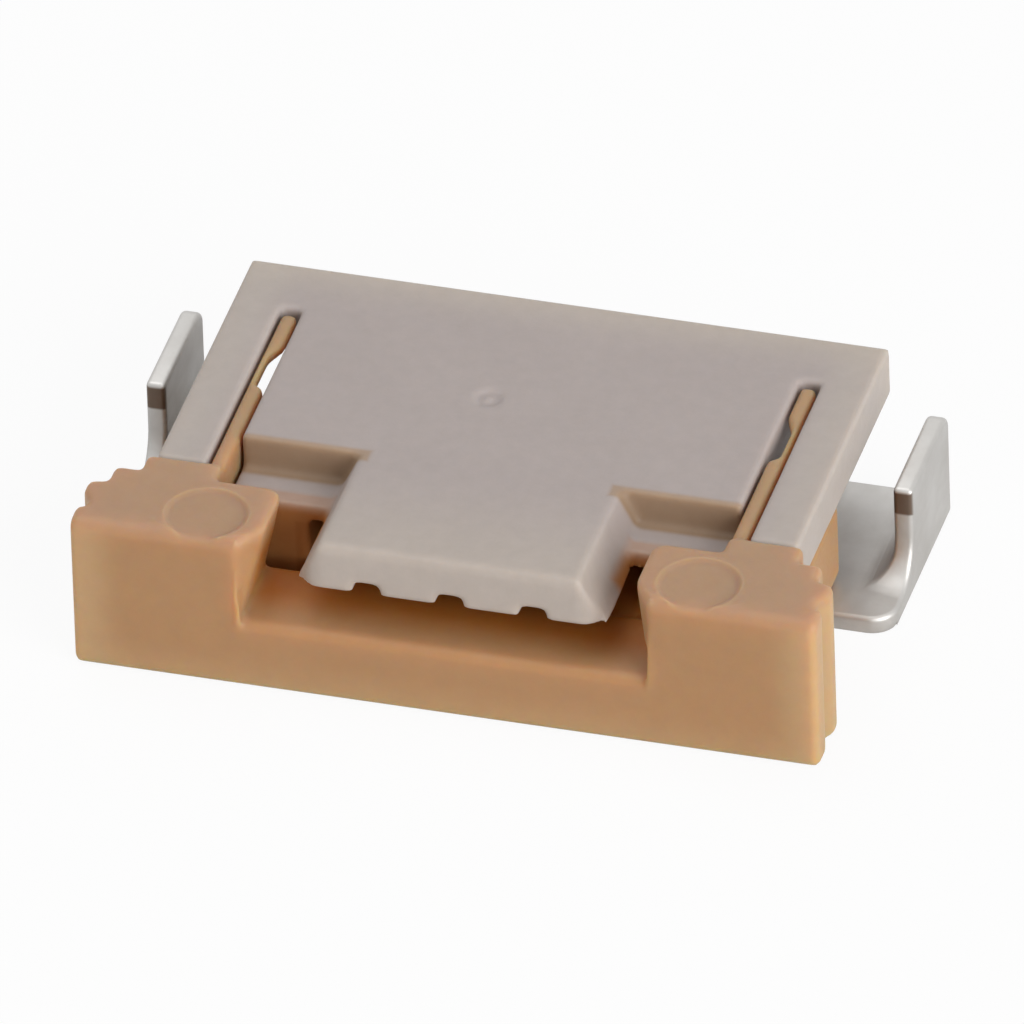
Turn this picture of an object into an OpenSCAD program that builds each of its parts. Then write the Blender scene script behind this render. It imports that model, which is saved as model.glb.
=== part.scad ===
// Right-angle surface-mount connector for a flat flexible cable, with a sliding lock.
// +Z is up from the board, the cable goes in along +Y, and X runs across the cable.
// The origin is on the board, in the middle of the overall width and depth.
// Depths (y) are counted from the slider's front face with the slider pushed home.

/* [Cable] */
// Distance between neighbouring contacts
pitch = 1.0; // [0.9:0.05:1.1]
// Width of the flat cable
cable_w = 4.0; // [3.9:0.05:4.1]
// Gap on each side of the cable inside the housing
cable_gap = 0.05; // [0.02:0.01:0.08]

/* [Housing] */
// Width across the two wings
housing_w = 7.7; // [7.4:0.02:8]
// Length from the front ends of the rails to the back wall
housing_l = 4.03; // [3.9:0.01:4.3]
// Height of the top face above the board
housing_h = 2.0; // [1.95:0.01:2.1]
// Thickness of the wings over the open sides
wing_t = 0.65; // [0.6:0.01:0.68]
// Width of the body between the two arm slots
core_w = 6; // [5.9:0.02:6.1]
// Width of each arm slot
slot_w = 0.26; // [0.24:0.01:0.3]
// Material left behind each arm slot
slot_end_wall = 0.84; // [0.7:0.02:0.9]
// Thickness of the roof over the cable
roof_t = 0.63; // [0.6:0.01:0.65]
// Thickness of the floor under the wedge
floor_t = 0.38; // [0.34:0.01:0.39]
// Thickness of the wall behind the cable
back_wall = 0.9; // [0.8:0.02:1]
// Width of the tongue at its top face
tongue_w = 3.11; // [2.95:0.01:3.2]
// Distance that the tongue stands forward of the rails
tongue_l = 1.26; // [1.1:0.01:1.28]
// Outward slope of each tongue side, from top to bottom
tongue_draft = 0.31; // [0.2:0.01:0.35]
// Radius of the tongue's front corners in plan
tongue_corner = 0.34; // [0.2:0.01:0.4]
// Length of the lowered shelf on each side of the tongue
shelf_l = 0.6; // [0.4:0.02:0.8]
// Drop from the top face to the shelf
shelf_drop = 0.42; // [0.3:0.01:0.45]

/* [Slider] */
// Width across the slider's front plate
slider_w = 8.94; // [8.8:0.02:9.05]
// Height of the end blocks above the board
slider_h = 2.05; // [2:0.01:2.15]
// Depth from the front face to the shoulders that meet the rails
slider_l = 1.5; // [1.4:0.02:1.6]
// Depth of the end blocks and of the bar between them
block_l = 1.2; // [1.1:0.02:1.3]
// Height of the bar's top face above the board
bar_h = 0.925; // [0.88:0.005:0.94]
// Width of the window between the blocks, at the front
window_w = 4.94; // [4.8:0.02:5]
// Width of the window at the top of the blocks
window_top_w = 4.42; // [4.3:0.02:4.5]
// Depth of the chamfer that leads into the window
window_lead = 0.4; // [0.2:0.02:0.6]
// Thickness of the front plate
plate_t = 0.36; // [0.3:0.01:0.4]
// Depth of the upright groove behind the front plate's edge
edge_groove = 0.1; // [0.04:0.01:0.12]
// Width across the rear part of the end blocks
block_w = 8.5; // [8.4:0.02:8.6]
// Width across the shoulders that meet the rails
shoulder_w = 7.88; // [7.8:0.02:8]
// Distance that the slider opens
travel = 1.1; // [0.8:0.05:1.15]
// Diameter of the round marks on the end blocks
mark_d = 1.0; // [0.8:0.05:1.1]
// Distance from the middle to each round mark
mark_x = 2.95; // [2.9:0.01:3.2]
// Distance from the front face to the middle of each round mark
mark_y = 0.51; // [0.5:0.01:0.6]
// Radius along the blocks' top front edge
soft_edge = 0.15; // [0.1:0.01:0.2]
// Radius along the bar's top front edge
bar_round = 0.12; // [0.08:0.01:0.2]
// Reach of the wedge behind the bar
wedge_l = 2.15; // [2:0.05:2.3]
// Thickness of the wedge
wedge_t = 0.46; // [0.4:0.01:0.48]

/* [Arms] */
// Length of the leg below each rail, from the shoulder back
leg_l = 1.9; // [1.7:0.05:2]
// Height of the leg's top face, measured down from the wing
leg_gap = 0.04; // [0.03:0.01:0.08]
// Distance that the hook reaches behind the leg
hook_reach = 1.25; // [1.1:0.05:1.3]
// Thickness of the hook
hook_t = 0.17; // [0.14:0.01:0.2]
// Width of the neck in front of the hook
neck_w = 0.08; // [0.06:0.01:0.14]

/* [Nails] */
// Thickness of the nails' sheet metal
nail_t = 0.24; // [0.2:0.01:0.25]
// Width across the two nails' outer faces
nail_span = 9.24; // [9.15:0.01:9.4]
// Height of the upright plate
nail_h = 1.41; // [1.3:0.01:1.5]
// Length of the foot along the board
foot_l = 2.6; // [2.4:0.02:2.7]
// Length of the upright plate
upright_l = 1.62; // [1.5:0.02:1.7]
// Distance from the housing's back face to the nail's rear edge
nail_inset = 0.28; // [0.2:0.02:0.4]
// Radius of the foot's outer front corner
foot_corner = 0.32; // [0.2:0.02:0.4]
// Radius of the sweep from the upright's front edge down to the foot
nail_sweep = 0.54; // [0.3:0.01:0.6]
// Radius of the upright's top rear corner
nail_corner = 0.18; // [0.1:0.01:0.25]
// Reach of the foot's tab into the housing
nail_tab = 0.4; // [0.3:0.02:0.5]

/* [Terminals] */
// Thickness of the contact strip
contact_t = 0.2; // [0.16:0.01:0.22]
// Height of the contact beam and of the tail
beam_t = 0.18; // [0.16:0.01:0.2]
// Length of the solder tail behind the housing
tail_l = 0.64; // [0.5:0.02:0.9]
// Distance that the contact points stand below the roof
contact_drop = 0.26; // [0.2:0.01:0.28]

/* [Fits] */
// Sliding clearance between the slider and the housing
fit = 0.03; // [0.02:0.005:0.035]
// Gap between the slider and the board
board_gap = 0.02; // [0.01:0.005:0.03]

/* [Hidden] */
$fn = 48;
natural = [0.78, 0.73, 0.68];
tan = [0.78, 0.62, 0.42];
tin = [0.80, 0.79, 0.77];

// Overhang that makes a cut run clear of the face it opens
clear = 0.5;
// Depth to which one piece of the slider runs into another
join = 0.3;
// Shape of the notches in the tongue's front lip
notch_w = 0.35;
notch_h = 0.15;
notch_l = 1;
notch_taper = 0.03;
// Depth of the contact slots into the roof, and where they start behind the tongue's front
slot_rise = 0.34;
slot_inset = 0.35;
// Depth and height of the relief under the wing beside each arm slot
relief_w = 0.14;
relief_h = 0.26;
// Room beside each contact beam
beam_gap = 0.04;
// Radius along the tongue's top front edge
tongue_edge = 0.1;
// Round dimple left where the plastic came in, and the nub in its middle
gate_d = 0.3;
gate_depth = 0.05;
gate_nub_d = 0.14;
gate_x = -0.42;
gate_y = 2;
// Steps along the slider's ends, from front to back
groove_l = 0.12;
land_l = 0.2;
land_ramp = 0.18;
land_step = 0.04;
// Flare of the window behind
window_flare = 0.12;
// Depth of the round marks
mark_depth = 0.04;
// Blunt tip and top slope of the wedge
wedge_slope = 0.5;
wedge_nose = 0.12;
wedge_chamfer = 0.09;

half_core = core_w / 2;
slot_out = half_core + slot_w;
wing_z = housing_h - wing_t;
roof_z = housing_h - roof_t;
shelf_z = housing_h - shelf_drop;
mouth_w = cable_w + 2 * cable_gap;
rail_front = slider_l + fit;
back_y = rail_front + housing_l;
tongue_front = rail_front - tongue_l;
shelf_back = rail_front + shelf_l;
mouth_back = back_y - back_wall;
slot_back = back_y - slot_end_wall;
tail_end = back_y + tail_l;
wedge_w = mouth_w - 2 * fit;
wedge_low = floor_t + fit;
wedge_tip = block_l + wedge_l;
arm_in = half_core + fit;
arm_out = slot_out - fit;
arm_top = housing_h - fit;
leg_top = wing_z - leg_gap;
leg_out = housing_w / 2 - leg_gap;
leg_low = nail_t + 2 * fit;
leg_back = slider_l + leg_l;
rib_short = 0.2;
rib_back = leg_back - rib_short;
hook_back = leg_back + hook_reach;
hook_l = 0.6;
hook_flare = 0.28;
nail_back = back_y - nail_inset;
foot_front = nail_back - foot_l;
nail_out = nail_span / 2;

// Retaining lugs on the wedge, and the grooves they run in
lug_l = 0.25;
lug_h = 0.3;
lug_reach = 0.16;
lug_inset = 0.12;
lug_back = wedge_tip - lug_inset;
lug_mid_z = wedge_low + wedge_t / 2;

module centred() {
    translate([0, -tail_end / 2, 0]) children();
}

module both_sides() {
    children();
    mirror([1, 0, 0]) children();
}

// A box from its lowest corner to its highest corner
module span_box(low, high) {
    translate(low) cube(high - low);
}

// Stands a profile drawn as (y, z) across the part, from x = 0 to x = width
module across(width) {
    rotate([90, 0, 90]) linear_extrude(width) children();
}

// Runs a profile drawn as (x, z) back from y = start for a length
module along(start, length) {
    translate([0, start + length, 0]) rotate([90, 0, 0]) linear_extrude(length) children();
}

// Rectangle with a true arc at one corner, from (0, 0), rounded at (w, h)
module one_round(w, h, r) {
    square([w, h - r]);
    square([w - r, h]);
    translate([w - r, h - r]) circle(r);
}

// ---- Housing ----

module wings() {
    span_box([-housing_w / 2, rail_front, wing_z], [housing_w / 2, back_y, housing_h]);
}

module core() {
    span_box([-half_core, rail_front, 0], [half_core, back_y, housing_h]);
}

module tongue_plan() {
    half = tongue_w / 2 + tongue_draft;
    for (side = [0, 1]) mirror([side, 0]) {
        translate([0, shelf_back]) mirror([0, 1]) one_round(half, shelf_back - tongue_front, tongue_corner);
    }
}

module tongue() {
    top_half = tongue_w / 2;
    bottom_half = top_half + tongue_draft;
    intersection() {
        translate([0, 0, roof_z]) linear_extrude(roof_t) tongue_plan();
        along(tongue_front, tongue_l + shelf_l)
            polygon([
                [-bottom_half, roof_z],
                [bottom_half, roof_z],
                [top_half, housing_h],
                [-top_half, housing_h]
            ]);
        translate([-bottom_half, shelf_back, 0]) mirror([0, 1, 0])
            across(2 * bottom_half) one_round(shelf_back - tongue_front, housing_h, tongue_edge);
    }
}

// Clears the shelf beside the tongue
module shelf_cut() {
    side = tongue_w / 2;
    both_sides()
        span_box([side, rail_front - clear, shelf_z], [slot_out - slot_w / 2, shelf_back, housing_h + clear]);
}

module arm_slot() {
    span_box([half_core, rail_front - clear, wing_z - clear], [slot_out, slot_back, housing_h + clear]);
    span_box([half_core, leg_back, wing_z - clear], [slot_out + relief_w, slot_back, wing_z + relief_h]);
}

module cable_mouth() {
    span_box([-mouth_w / 2, rail_front - clear, floor_t], [mouth_w / 2, mouth_back, roof_z]);
}

module lug_groove() {
    front = lug_back - lug_l - travel - fit;
    half_h = lug_h / 2 + fit;
    span_box([mouth_w / 2 - fit, front, lug_mid_z - half_h],
             [mouth_w / 2 + lug_reach, lug_back + fit, lug_mid_z + half_h]);
}

// Notch in the front lip, the roof slot for the beam and the slot in the back wall
module contact_cuts() {
    slot_half = contact_t / 2 + beam_gap;
    along(tongue_front - clear, clear + notch_l)
        polygon([
            [-notch_w / 2, roof_z - clear],
            [-notch_w / 2, roof_z],
            [-notch_w / 2 + notch_taper, roof_z + notch_h],
            [notch_w / 2 - notch_taper, roof_z + notch_h],
            [notch_w / 2, roof_z],
            [notch_w / 2, roof_z - clear]
        ]);
    span_box([-slot_half, tongue_front + slot_inset, roof_z - fit], [slot_half, mouth_back, roof_z + slot_rise]);
    span_box([-contact_t / 2, mouth_back - fit, beam_t], [contact_t / 2, back_y + clear, roof_z + slot_rise]);
    span_box([-contact_t / 2, back_y - tail_root, -clear], [contact_t / 2, back_y + clear, 2 * beam_t]);
}

module nail_pocket() {
    span_box([half_core - nail_tab, tab_front, -clear], [half_core + clear, tab_back, nail_t]);
}

module gate_mark() {
    translate([gate_x, rail_front + gate_y, housing_h]) difference() {
        translate([0, 0, -gate_depth]) cylinder(d = gate_d, h = gate_depth + clear);
        translate([0, 0, -2 * gate_depth]) cylinder(d = gate_nub_d, h = 1.8 * gate_depth);
    }
}

module housing() {
    color(natural) centred() difference() {
        union() {
            wings();
            core();
            tongue();
        }
        difference() {
            shelf_cut();
            tongue();
        }
        both_sides() arm_slot();
        cable_mouth();
        both_sides() lug_groove();
        for (i = [-1:1]) translate([i * pitch, 0, 0]) contact_cuts();
        both_sides() nail_pocket();
        gate_mark();
    }
}

// ---- Slider ----

// Outline of one half of the end block, front plate and shoulder, seen from above
module block_plan() {
    plate = slider_w / 2;
    land_front = plate_t + groove_l + land_ramp;
    land_back = land_front + land_l;
    polygon([
        [0, 0],
        [plate, 0],
        [plate, plate_t],
        [plate - edge_groove, plate_t],
        [plate - edge_groove, plate_t + groove_l],
        [plate, land_front],
        [plate, land_back],
        [block_w / 2, land_back + land_step],
        [block_w / 2, block_l],
        [shoulder_w / 2, block_l],
        [shoulder_w / 2, slider_l],
        [arm_in, slider_l],
        [arm_in, block_l],
        [0, block_l]
    ]);
}

// Side outline of the blocks, rounded along the top front edge
module block_side() {
    translate([slider_l, board_gap]) mirror([1, 0]) one_round(slider_l, slider_h - board_gap, soft_edge);
}

module end_blocks() {
    intersection() {
        translate([0, 0, board_gap]) linear_extrude(slider_h - board_gap) both_sides() block_plan();
        translate([-slider_w / 2, 0, 0]) across(slider_w) block_side();
    }
}

module window_cut() {
    low = window_w / 2;
    top = window_top_w / 2;
    along(-clear, slider_l + 2 * clear)
        polygon([
            [-low, bar_h],
            [low, bar_h],
            [top, slider_h],
            [top, slider_h + clear],
            [-top, slider_h + clear],
            [-top, slider_h]
        ]);
    translate([0, 0, bar_h]) linear_extrude(slider_h) both_sides()
        polygon([
            [0, -clear],
            [low, -clear],
            [low, 0],
            [top, window_lead],
            [top, block_l - window_flare],
            [top + window_flare, block_l],
            [top + window_flare, slider_l + clear],
            [0, slider_l + clear]
        ]);
    translate([-low, 0, bar_h - bar_round]) across(window_w) difference() {
        translate([-clear, 0]) square(bar_round + clear);
        translate([bar_round, 0]) circle(bar_round);
    }
}

module wedge() {
    top = wedge_low + wedge_t;
    blunt_low = wedge_low + wedge_chamfer;
    translate([-wedge_w / 2, 0, 0]) across(wedge_w)
        polygon([
            [block_l - join, wedge_low],
            [wedge_tip - wedge_chamfer, wedge_low],
            [wedge_tip, blunt_low],
            [wedge_tip, blunt_low + wedge_nose],
            [wedge_tip - wedge_slope, top],
            [block_l - join, top]
        ]);
}

module lug() {
    span_box([wedge_w / 2 - fit, lug_back - lug_l, lug_mid_z - lug_h / 2],
             [wedge_w / 2 + lug_reach - fit, lug_back, lug_mid_z + lug_h / 2]);
}

// The leg below the rail and the rib that stands up in the slot
module arm() {
    span_box([arm_in, block_l - join, leg_low], [leg_out, leg_back, leg_top]);
    span_box([arm_in, block_l - join, leg_low], [arm_out, rib_back, arm_top]);
}

// Flat hook behind the rib, narrow at its neck
module hook() {
    neck_in = arm_out - neck_w;
    translate([0, 0, arm_top - hook_t]) linear_extrude(hook_t)
        polygon([
            [arm_out, rib_back - fit],
            [arm_out, hook_back],
            [arm_in, hook_back],
            [arm_in, hook_back - hook_l],
            [neck_in, hook_back - hook_l - hook_flare],
            [neck_in, rib_back - fit]
        ]);
}

module round_mark() {
    translate([mark_x, mark_y, slider_h - mark_depth]) cylinder(d = mark_d, h = clear);
}

module slider() {
    color(tan) centred() difference() {
        union() {
            end_blocks();
            wedge();
            both_sides() {
                arm();
                hook();
                lug();
            }
        }
        window_cut();
        both_sides() round_mark();
    }
}

// ---- Terminals ----

// Depth of the terminal's upright root in the back wall
tail_root = 0.62;
// Distance from the tongue's front to the tip of the contact beam
beam_inset = 0.42;
// Room above the contact beam
beam_head = 0.06;
// Length of the slope down to the contact point, of the flat there and of the slope up again
nose_down = 0.3;
nose_flat = 0.12;
nose_up = 0.63;
// Turned-up tip of the beam
tip_rise = 0.1;
// Cover left behind the terminal's upright part
root_cover = 0.2;

module contact_profile() {
    beam_top = roof_z + slot_rise - beam_head;
    beam_low = beam_top - beam_t;
    tip = tongue_front + beam_inset;
    nose = roof_z - contact_drop;
    nose_front = tip + nose_down;
    nose_back = nose_front + nose_flat;
    root_front = back_y - tail_root;
    root_back = back_y - root_cover;
    polygon([
        [tip, beam_low],
        [nose_front, nose],
        [nose_back, nose],
        [nose_back + nose_up, beam_low],
        [root_front, beam_low],
        [root_front, 2 * beam_t],
        [mouth_back, 2 * beam_t],
        [mouth_back, beam_t],
        [root_front, beam_t],
        [root_front, 0],
        [tail_end, 0],
        [tail_end, beam_t],
        [root_back + root_cover / 2, beam_t],
        [root_back, 2 * beam_t],
        [root_back, beam_top],
        [nose_back + nose_up, beam_top],
        [nose_front + nose_flat / 2, nose + beam_t],
        [tip + tip_rise, beam_low + tip_rise]
    ]);
}

module terminal(place) {
    color(tin) centred() translate([place * pitch - contact_t / 2, 0, 0])
        across(contact_t) contact_profile();
}

module terminal_1() { terminal(-1); }
module terminal_2() { terminal(0); }
module terminal_3() { terminal(1); }

// ---- Nails ----

// Tab that holds the nail in the housing's side
tab_inset_front = 0.75;
tab_inset_back = 0.45;
tab_front = foot_front + tab_inset_front;
tab_back = nail_back - tab_inset_back;
// Radii of the bend between foot and upright
bend_out = 0.07;
bend_in = 0.34;

// Cross-section of the bent sheet, outer face at x = 0, foot running to negative x
module nail_section(foot_w) {
    difference() {
        union() {
            translate([-foot_w, nail_t]) mirror([0, 1]) one_round(foot_w, nail_t, bend_out);
            translate([-nail_t, bend_out]) square([nail_t, nail_h - bend_out]);
            translate([-nail_t - bend_in, 0]) square([nail_t / 2 + bend_in, nail_t + bend_in]);
        }
        translate([-nail_t - bend_in, nail_t + bend_in]) circle(bend_in);
    }
}

// Outline of the upright plate seen from the side, with the soft corner behind
module upright_side() {
    front = nail_back - upright_l;
    sweep_front = front - nail_sweep;
    difference() {
        union() {
            translate([foot_front, 0]) square([foot_l, nail_t]);
            translate([front, 0]) one_round(upright_l, nail_h, nail_corner);
            translate([sweep_front, nail_t]) square(nail_sweep);
        }
        translate([sweep_front, nail_t + nail_sweep]) circle(nail_sweep);
    }
}

module foot_plan(foot_w) {
    translate([nail_out - foot_w, nail_back]) mirror([0, 1]) one_round(foot_w, foot_l, foot_corner);
}

module nail() {
    foot_w = nail_out - half_core;
    intersection() {
        along(foot_front, foot_l) translate([nail_out, 0]) nail_section(foot_w);
        translate([half_core, 0, 0]) across(foot_w) upright_side();
        linear_extrude(nail_h) foot_plan(foot_w);
    }
    span_box([half_core - nail_tab, tab_front, 0], [half_core + fit, tab_back, nail_t]);
}

module nail_right() {
    color(tin) centred() nail();
}

module nail_left() {
    color(tin) mirror([1, 0, 0]) centred() nail();
}

housing();
slider();
terminal_1();
terminal_2();
terminal_3();
nail_left();
nail_right();
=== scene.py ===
import math

import bpy
from mathutils import Matrix, Vector


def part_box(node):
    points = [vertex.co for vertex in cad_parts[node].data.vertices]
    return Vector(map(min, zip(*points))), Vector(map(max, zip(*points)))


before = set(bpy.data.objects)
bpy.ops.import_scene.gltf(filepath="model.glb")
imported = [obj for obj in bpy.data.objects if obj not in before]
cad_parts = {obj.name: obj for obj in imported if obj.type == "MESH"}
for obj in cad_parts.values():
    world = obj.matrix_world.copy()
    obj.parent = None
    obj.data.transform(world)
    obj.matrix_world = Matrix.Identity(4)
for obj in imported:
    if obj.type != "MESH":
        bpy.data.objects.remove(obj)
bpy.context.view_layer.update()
MM = 0.001
WELD_REACH = 0.0002 * MM
FLAT_ANGLE = math.radians(0.5)
SHARP_ANGLE = math.radians(32)
PLASTIC_BEVEL_SEGMENTS = 3
MELT_FACTOR = 0.5
PLASTIC_IOR = 1.5
PLASTIC_SPECULAR = 0.35
PLASTIC_ROUGH_SPREAD = 0.18
METAL_ROUGH_SPREAD = 0.2
FLOOR_REACH = 200 * MM
FLOOR_GLOW = 0.92
WORLD_STRENGTH = 0.5
CAMERA_SENSOR = 36
CAMERA_LENS = 1500
CAMERA_BACK = Vector((0.2343, -0.7749, 0.5871))
CAMERA_RIGHT = Vector((0.9625, 0.2698, -0.028))
CAMERA_LOOK_AT = Vector((0.055, -0.361, 1.0)) * MM
SEEN_WIDTH = 11.86 * MM
CLIP_START = 10 * MM
CLIP_END = 2000 * MM

# The slider's front face at home, in millimetres: depths below are counted from it
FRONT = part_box("slider")[0].y / MM
NAIL_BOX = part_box("nail_right")


# ---- Colours, as linear values ----


def linear(r, g, b):
    """A colour written as 0 to 255 on screen, as the linear colour a shader takes."""
    out = []
    for c in (r, g, b):
        c = c / 255
        out.append(c / 12.92 if c <= 0.04045 else ((c + 0.055) / 1.055) ** 2.4)
    return (*out, 1.0)


def grey(value):
    return (value, value, value, 1.0)


# ---- Node helpers ----


def new_material(name):
    mat = bpy.data.materials.new(name)
    mat.use_nodes = True
    tree = mat.node_tree
    tree.nodes.clear()
    out = tree.nodes.new("ShaderNodeOutputMaterial")
    shader = tree.nodes.new("ShaderNodeBsdfPrincipled")
    tree.links.new(shader.outputs[0], out.inputs["Surface"])
    return mat, tree, shader


def vector_math(tree, operation, *values):
    node = tree.nodes.new("ShaderNodeVectorMath")
    node.operation = operation
    for socket, value in zip(node.inputs, values):
        if isinstance(value, tuple):
            socket.default_value = value
        else:
            tree.links.new(value, socket)
    return node.outputs["Value" if operation == "LENGTH" else "Vector"]


def math_node(tree, operation, *values):
    node = tree.nodes.new("ShaderNodeMath")
    node.operation = operation
    for socket, value in zip(node.inputs, values):
        if isinstance(value, (int, float)):
            socket.default_value = value
        else:
            tree.links.new(value, socket)
    return node.outputs[0]


def part_coords(tree):
    """Place on the part in millimetres: across, depth from the slider's front face, height."""
    coords = tree.nodes.new("ShaderNodeTexCoord")
    per_mm = (1 / MM, 1 / MM, 1 / MM)
    place = coords.outputs["Object"]
    return vector_math(tree, "MULTIPLY_ADD", place, per_mm, (0.0, -FRONT, 0.0))


def mirrored(tree, coords):
    """The same place with both halves of the part folded onto the right half."""
    split = tree.nodes.new("ShaderNodeSeparateXYZ")
    join = tree.nodes.new("ShaderNodeCombineXYZ")
    tree.links.new(coords, split.inputs[0])
    tree.links.new(math_node(tree, "ABSOLUTE", split.outputs[0]), join.inputs[0])
    tree.links.new(split.outputs[1], join.inputs[1])
    tree.links.new(split.outputs[2], join.inputs[2])
    return join.outputs[0]


def noise_node(tree, coords, per_mm, detail=2.0, rough=0.5, stretch=None):
    """Noise with that many features a millimetre, from 0 to 1."""
    if stretch:
        coords = vector_math(tree, "MULTIPLY", coords, stretch)
    tex = tree.nodes.new("ShaderNodeTexNoise")
    tex.inputs["Scale"].default_value = per_mm
    tex.inputs["Detail"].default_value = detail
    tex.inputs["Roughness"].default_value = rough
    tree.links.new(coords, tex.inputs["Vector"])
    return tex.outputs["Fac"]


def span(tree, value, low, high, start=0.0, end=1.0):
    """Eases from start to end while a value goes from low to high."""
    node = tree.nodes.new("ShaderNodeMapRange")
    node.interpolation_type = "SMOOTHSTEP"
    tree.links.new(value, node.inputs["Value"])
    limits = {"From Min": low, "From Max": high, "To Min": start, "To Max": end}
    for name, number in limits.items():
        node.inputs[name].default_value = number
    return node.outputs["Result"]


def box_zone(tree, coords, low, high, edge, amount=1.0):
    """1 inside a box and 0 outside it, with a soft border that wide."""
    middle = tuple((a + b) / 2 for a, b in zip(low, high))
    half = tuple((b - a) / 2 for a, b in zip(low, high))
    away = vector_math(tree, "ABSOLUTE", vector_math(tree, "SUBTRACT", coords, middle))
    past = vector_math(tree, "SUBTRACT", away, half)
    split = tree.nodes.new("ShaderNodeSeparateXYZ")
    tree.links.new(past, split.inputs[0])
    far = math_node(tree, "MAXIMUM", split.outputs[0], split.outputs[1])
    far = math_node(tree, "MAXIMUM", far, split.outputs[2])
    return span(tree, far, -edge, edge, amount, 0.0)


def ball_zone(tree, coords, middle, reach, edge, amount=1.0):
    """1 at the middle of an ellipsoid and 0 outside it."""
    away = vector_math(tree, "SUBTRACT", coords, middle)
    away = vector_math(tree, "DIVIDE", away, reach)
    return span(tree, vector_math(tree, "LENGTH", away), 1 - edge, 1 + edge, amount, 0.0)


def ramp(tree, value, stops):
    """A colour ramp over (position, colour) stops."""
    node = tree.nodes.new("ShaderNodeValToRGB")
    elements = node.color_ramp.elements
    while len(elements) < len(stops):
        elements.new(0.5)
    for element, (place, colour) in zip(elements, stops):
        element.position = place
        element.color = colour
    tree.links.new(value, node.inputs["Fac"])
    return node.outputs["Color"]


def mix_colours(tree, factor, low, high, way="MIX"):
    """Mixes two colours or colour sockets by a factor or factor socket."""
    node = tree.nodes.new("ShaderNodeMix")
    node.data_type = "RGBA"
    node.blend_type = way
    if isinstance(factor, float):
        node.inputs["Factor"].default_value = factor
    else:
        tree.links.new(factor, node.inputs["Factor"])
    for socket, value in ((node.inputs[6], low), (node.inputs[7], high)):
        if isinstance(value, tuple):
            socket.default_value = value
        else:
            tree.links.new(value, socket)
    return node.outputs[2]


def bump(tree, height, distance, strength, normal=None):
    node = tree.nodes.new("ShaderNodeBump")
    node.inputs["Distance"].default_value = distance
    node.inputs["Strength"].default_value = strength
    tree.links.new(height, node.inputs["Height"])
    if normal is not None:
        tree.links.new(normal, node.inputs["Normal"])
    return node.outputs[0]


# ---- Materials ----


def paint(tree, coords, base, zones):
    """Lays colours over a base, zone by zone.

    A box zone gives its lowest and highest corners, a ball zone its middle and its reach.
    Then come the width of its soft border, how much it covers, and its colour.
    """
    colour = base
    for kind, first, second, edge, amount, shade in zones:
        zone = box_zone if kind == "box" else ball_zone
        mask = zone(tree, coords, first, second, edge, amount)
        colour = mix_colours(tree, mask, colour, shade)
    return colour


def moulded(name, painter, mottle, grain, roughness, scatter, depth, radius):
    """Moulded plastic that light enters: cloudy colour, fine mottling and a spark-eroded grain."""
    mat, tree, shader = new_material(name)
    co = part_coords(tree)
    colour = painter(tree, co)
    cloud = noise_node(tree, co, 0.9, detail=3)
    shade = ramp(tree, cloud, [(0.3, grey(0.97)), (0.7, grey(1.0))])
    colour = mix_colours(tree, 1.0, colour, shade, "MULTIPLY")
    spots = noise_node(tree, co, mottle, detail=4, rough=0.65)
    shade = ramp(tree, spots, [(0.3, grey(0.94)), (0.7, grey(1.0))])
    colour = mix_colours(tree, 1.0, colour, shade, "MULTIPLY")
    tree.links.new(colour, shader.inputs["Base Color"])
    fine = noise_node(tree, co, grain, detail=3, rough=0.6)
    lowest = roughness - PLASTIC_ROUGH_SPREAD / 2
    rough = math_node(tree, "MULTIPLY_ADD", fine, PLASTIC_ROUGH_SPREAD, lowest)
    tree.links.new(rough, shader.inputs["Roughness"])
    soft = noise_node(tree, co, 2.2, detail=2)
    normal = bump(tree, soft, 0.02 * MM, 0.35)
    normal = bump(tree, fine, 0.004 * MM, 0.5, normal)
    tree.links.new(normal, shader.inputs["Normal"])
    shader.inputs["Subsurface Weight"].default_value = scatter
    shader.inputs["Subsurface Radius"].default_value = radius
    shader.inputs["Subsurface Scale"].default_value = depth
    shader.inputs["IOR"].default_value = PLASTIC_IOR
    shader.inputs["Specular IOR Level"].default_value = PLASTIC_SPECULAR
    return mat


def plated(name, painter, roughness, streak):
    """Matt tin plating, with soft cloudy patches and rolling marks, bare metal where it was cut."""
    mat, tree, shader = new_material(name)
    co = part_coords(tree)
    cloud = noise_node(tree, co, 1.4, detail=4, rough=0.6)
    tree.links.new(painter(tree, co, cloud), shader.inputs["Base Color"])
    lines = noise_node(tree, co, 9.0, detail=2, stretch=streak)
    lowest = roughness - METAL_ROUGH_SPREAD / 2
    rough = math_node(tree, "MULTIPLY_ADD", lines, METAL_ROUGH_SPREAD, lowest)
    tree.links.new(rough, shader.inputs["Roughness"])
    grain = noise_node(tree, co, 14.0, detail=3)
    normal = bump(tree, grain, 0.003 * MM, 0.4)
    normal = bump(tree, lines, 0.004 * MM, 0.3, normal)
    tree.links.new(normal, shader.inputs["Normal"])
    shader.inputs["Metallic"].default_value = 1.0
    return mat


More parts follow.
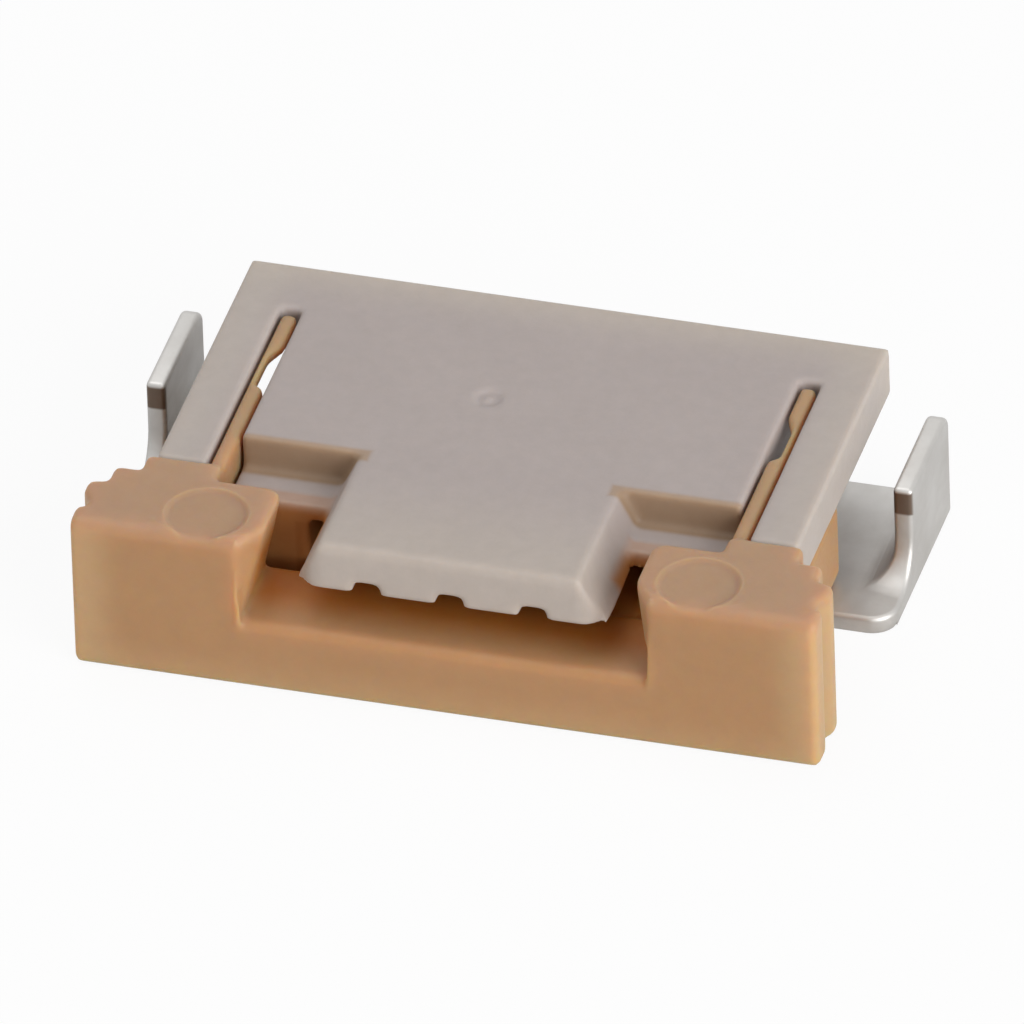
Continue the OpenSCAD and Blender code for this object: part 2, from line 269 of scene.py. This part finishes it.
def housing_colour(tree, co):
    """Pinkish off-white, yellower at the back edge, with painted light: a lighter, warmer tongue
    and lighter, yellower wings, and painted shade with a painted reflection of the slider's orange
    resin where it faces the slider.
    """
    both = mirrored(tree, co)
    return paint(tree, both, linear(180, 169, 165), [
        # Painted light: the tongue towards its lip lighter and warmer, as lit from the front and by
        # orange light reflected from the slider
        ("box", (-1.0, -1.0, -1.0), (9.0, 1.2, 9.0), 0.9, 1.0, linear(188, 177, 168)),
        # Painted light: the wings lighter and yellower, as their side faces are lit from the right
        ("box", (3.35, -1.0, -1.0), (9.0, 9.0, 9.0), 0.3, 0.9, linear(188, 178, 170)),
        # The back edge
        ("box", (-1.0, 5.3, -1.0), (9.0, 9.0, 9.0), 0.5, 0.9, linear(196, 185, 173)),
        # Painted shade and a painted brown reflection of the slider on the step down to the shelf
        ("box", (1.45, 2.0, 1.5), (3.0, 2.2, 2.02), 0.05, 1.0, linear(166, 140, 115)),
        # Painted shade and a painted orange reflection of the slider on the front below the shelf
        ("box", (1.7, 1.0, -1.0), (3.1, 1.7, 1.56), 0.12, 1.0, linear(190, 130, 75)),
        # Painted orange light reflected from the slider inside the shaded cable mouth, and through
        # to the back wall, where it shows by mistake
        ("box", (-0.1, 0.5, 0.3), (2.2, 6.0, 1.34), 0.03, 1.0, linear(180, 120, 66)),
    ])


def slider_colour(tree, co):
    """Translucent tan resin, with painted light: lighter at the outer ends where light shines
    through and at the foot lit from below, pinker on the block tops lit from above, and painted
    shade with painted orange light bounced inside the window.
    """
    both = mirrored(tree, co)
    return paint(tree, both, linear(184, 142, 100), [
        # Painted light: the foot lighter, as lit by light from the floor below
        ("box", (-1.0, -1.0, -1.0), (9.0, 9.0, 0.2), 0.4, 0.9, linear(200, 164, 122)),
        # Painted light: the outer ends lighter, as light shines through the thin resin there
        ("box", (4.1, -1.0, -1.0), (9.0, 9.0, 9.0), 0.3, 0.9, linear(196, 164, 122)),
        # Painted light: the top faces of the end blocks pinker, as lit from above
        ("box", (2.0, -1.0, 1.95), (9.0, 9.0, 9.0), 0.1, 1.0, linear(184, 148, 116)),
        # Painted shade and painted orange light bounced inside the resin: the window, under the
        # tongue
        ("box", (-1.0, 0.5, 0.7), (2.5, 9.0, 1.6), 0.35, 1.0, linear(186, 112, 40)),
    ])


def nail_colour(tree, co, cloud):
    both = mirrored(tree, co)
    base = ramp(tree, cloud, [(0.3, linear(200, 197, 193)), (0.7, linear(212, 210, 207))])
    outer = NAIL_BOX[1].x / MM
    cut_low = (outer - 0.3, 3.5, 1.06)
    cut_high = (outer + 0.1, 3.69, 1.36)
    return paint(tree, both, base, [
        # Bare metal where the nail was cut from its strip
        ("box", cut_low, cut_high, 0.02, 1.0, linear(120, 104, 92)),
    ])


def contact_colour(tree, co, cloud):
    return ramp(tree, cloud, [(0.3, linear(205, 202, 196)), (0.7, linear(222, 220, 214))])


housing_mat = moulded(
    "housing_plastic", housing_colour, mottle=5.0, grain=22.0, roughness=0.5,
    scatter=0.5, depth=0.3 * MM, radius=(1.0, 0.8, 0.6),
)
slider_mat = moulded(
    "slider_plastic", slider_colour, mottle=3.0, grain=20.0, roughness=0.45,
    scatter=1.0, depth=0.6 * MM, radius=(1.0, 0.45, 0.18),
)
nail_mat = plated("nail_plating", nail_colour, roughness=0.5, streak=(1.0, 0.25, 1.0))
contact_mat = plated("contact_plating", contact_colour, roughness=0.35, streak=(1.0, 0.2, 1.0))


# ---- Finishing of the CAD nodes ----


def smooth_faces(obj):
    for face in obj.data.polygons:
        face.use_smooth = True


def melt_edges(obj, radius, voxel, passes):
    """Rounds every edge of a moulded node as a worn mould does, by modifiers alone."""
    weld = obj.modifiers.new("weld", "WELD")
    weld.merge_threshold = WELD_REACH
    flat = obj.modifiers.new("flat", "DECIMATE")
    flat.decimate_type = "DISSOLVE"
    flat.angle_limit = FLAT_ANGLE
    bevel = obj.modifiers.new("bevel", "BEVEL")
    bevel.width = radius * MM
    bevel.segments = PLASTIC_BEVEL_SEGMENTS
    bevel.limit_method = "ANGLE"
    bevel.angle_limit = SHARP_ANGLE
    bevel.use_clamp_overlap = False
    remesh = obj.modifiers.new("remesh", "REMESH")
    remesh.mode = "VOXEL"
    remesh.voxel_size = voxel * MM
    remesh.use_smooth_shade = True
    melt = obj.modifiers.new("melt", "SMOOTH")
    melt.factor = MELT_FACTOR
    melt.iterations = passes


def bevel_edges(obj, width, segments=3):
    """Rounds every sharp edge of a metal node by modifiers alone."""
    weld = obj.modifiers.new("weld", "WELD")
    weld.merge_threshold = WELD_REACH
    flat = obj.modifiers.new("flat", "DECIMATE")
    flat.decimate_type = "DISSOLVE"
    flat.angle_limit = FLAT_ANGLE
    bevel = obj.modifiers.new("bevel", "BEVEL")
    bevel.width = width * MM
    bevel.segments = segments
    bevel.limit_method = "ANGLE"
    bevel.angle_limit = SHARP_ANGLE
    bevel.use_clamp_overlap = False
    bevel.miter_outer = "MITER_ARC"
    even = obj.modifiers.new("even", "WEIGHTED_NORMAL")
    even.keep_sharp = False
    smooth_faces(obj)


def finish_node(node, mat):
    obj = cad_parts[node]
    obj.data.materials.clear()
    obj.data.materials.append(mat)
    return obj


melt_edges(finish_node("housing", housing_mat), radius=0.03, voxel=0.045, passes=2)
melt_edges(finish_node("slider", slider_mat), radius=0.07, voxel=0.036, passes=5)
for node in ("nail_left", "nail_right"):
    bevel_edges(finish_node(node, nail_mat), width=0.06, segments=4)
for node in ("terminal_1", "terminal_2", "terminal_3"):
    bevel_edges(finish_node(node, contact_mat), width=0.02)


# ---- Floor, light and camera ----


def make_floor():
    mesh = bpy.data.meshes.new("floor")
    signs = ((-1, -1), (1, -1), (1, 1), (-1, 1))
    corners = [(x * FLOOR_REACH, y * FLOOR_REACH, 0) for x, y in signs]
    mesh.from_pydata(corners, [], [(0, 1, 2, 3)])
    floor = bpy.data.objects.new("floor", mesh)
    bpy.context.scene.collection.objects.link(floor)
    mat, tree, shader = new_material("floor_paper")
    co = part_coords(tree)
    cloud = noise_node(tree, co, 0.02, detail=2)
    colour = ramp(tree, cloud, [(0.3, grey(0.84)), (0.7, grey(0.86))])
    tree.links.new(colour, shader.inputs["Base Color"])
    shader.inputs["Roughness"].default_value = 0.9
    shader.inputs["Specular IOR Level"].default_value = 0.1
    glow = tree.nodes.new("ShaderNodeEmission")
    glow.inputs["Strength"].default_value = 1.0
    path = tree.nodes.new("ShaderNodeLightPath")
    by_camera = path.outputs["Is Camera Ray"]
    through_glass = path.outputs["Is Transmission Ray"]
    seen = math_node(tree, "MAXIMUM", by_camera, through_glass)
    share = math_node(tree, "MULTIPLY", seen, FLOOR_GLOW)
    mix = tree.nodes.new("ShaderNodeMixShader")
    tree.links.new(share, mix.inputs[0])
    tree.links.new(shader.outputs[0], mix.inputs[1])
    tree.links.new(glow.outputs[0], mix.inputs[2])
    out = next(n for n in tree.nodes if n.type == "OUTPUT_MATERIAL")
    tree.links.new(mix.outputs[0], out.inputs["Surface"])
    mesh.materials.append(mat)
    return floor


def make_world(strength):
    world = bpy.data.worlds.new("studio")
    bpy.context.scene.world = world
    world.use_nodes = True
    tree = world.node_tree
    tree.nodes.clear()
    out = tree.nodes.new("ShaderNodeOutputWorld")
    light = tree.nodes.new("ShaderNodeBackground")
    light.inputs["Strength"].default_value = strength
    seen = tree.nodes.new("ShaderNodeBackground")
    seen.inputs["Strength"].default_value = 1.0
    path = tree.nodes.new("ShaderNodeLightPath")
    by_camera = path.outputs["Is Camera Ray"]
    in_gloss = path.outputs["Is Glossy Ray"]
    first = math_node(tree, "MAXIMUM", by_camera, in_gloss)
    any_of = math_node(tree, "MAXIMUM", first, path.outputs["Is Transmission Ray"])
    mix = tree.nodes.new("ShaderNodeMixShader")
    tree.links.new(any_of, mix.inputs[0])
    tree.links.new(light.outputs[0], mix.inputs[1])
    tree.links.new(seen.outputs[0], mix.inputs[2])
    tree.links.new(mix.outputs[0], out.inputs["Surface"])


def make_softbox(name, place, target, size, power):
    data = bpy.data.lights.new(name, "AREA")
    data.shape = "RECTANGLE"
    data.size = size[0]
    data.size_y = size[1]
    data.energy = power
    lamp = bpy.data.objects.new(name, data)
    bpy.context.scene.collection.objects.link(lamp)
    lamp.location = place
    aim = Vector(target) - Vector(place)
    lamp.rotation_mode = "QUATERNION"
    lamp.rotation_quaternion = aim.to_track_quat("-Z", "Y")
    return lamp


def make_camera():
    data = bpy.data.cameras.new("camera")
    camera = bpy.data.objects.new("camera", data)
    bpy.context.scene.collection.objects.link(camera)
    back = CAMERA_BACK.normalized()
    right = (CAMERA_RIGHT - CAMERA_RIGHT.dot(back) * back).normalized()
    up = back.cross(right)
    data.sensor_width = CAMERA_SENSOR
    data.lens = CAMERA_LENS
    distance = CAMERA_LENS * SEEN_WIDTH / CAMERA_SENSOR
    place = CAMERA_LOOK_AT + back * distance
    basis = Matrix((right, up, back)).transposed().to_4x4()
    camera.matrix_world = Matrix.Translation(place) @ basis
    data.clip_start = CLIP_START
    data.clip_end = CLIP_END
    bpy.context.scene.camera = camera


make_floor()
make_world(WORLD_STRENGTH)
make_softbox(
    "key", place=(0.24, -0.165, 0.13), target=(0, 0, 0), size=(0.22, 0.22), power=0.8,
)
make_softbox(
    "top", place=(-0.08, 0.05, 0.28), target=(0, 0, 0), size=(0.25, 0.25), power=0.25,
)
make_camera()
bpy.context.scene.view_settings.view_transform = "Standard"
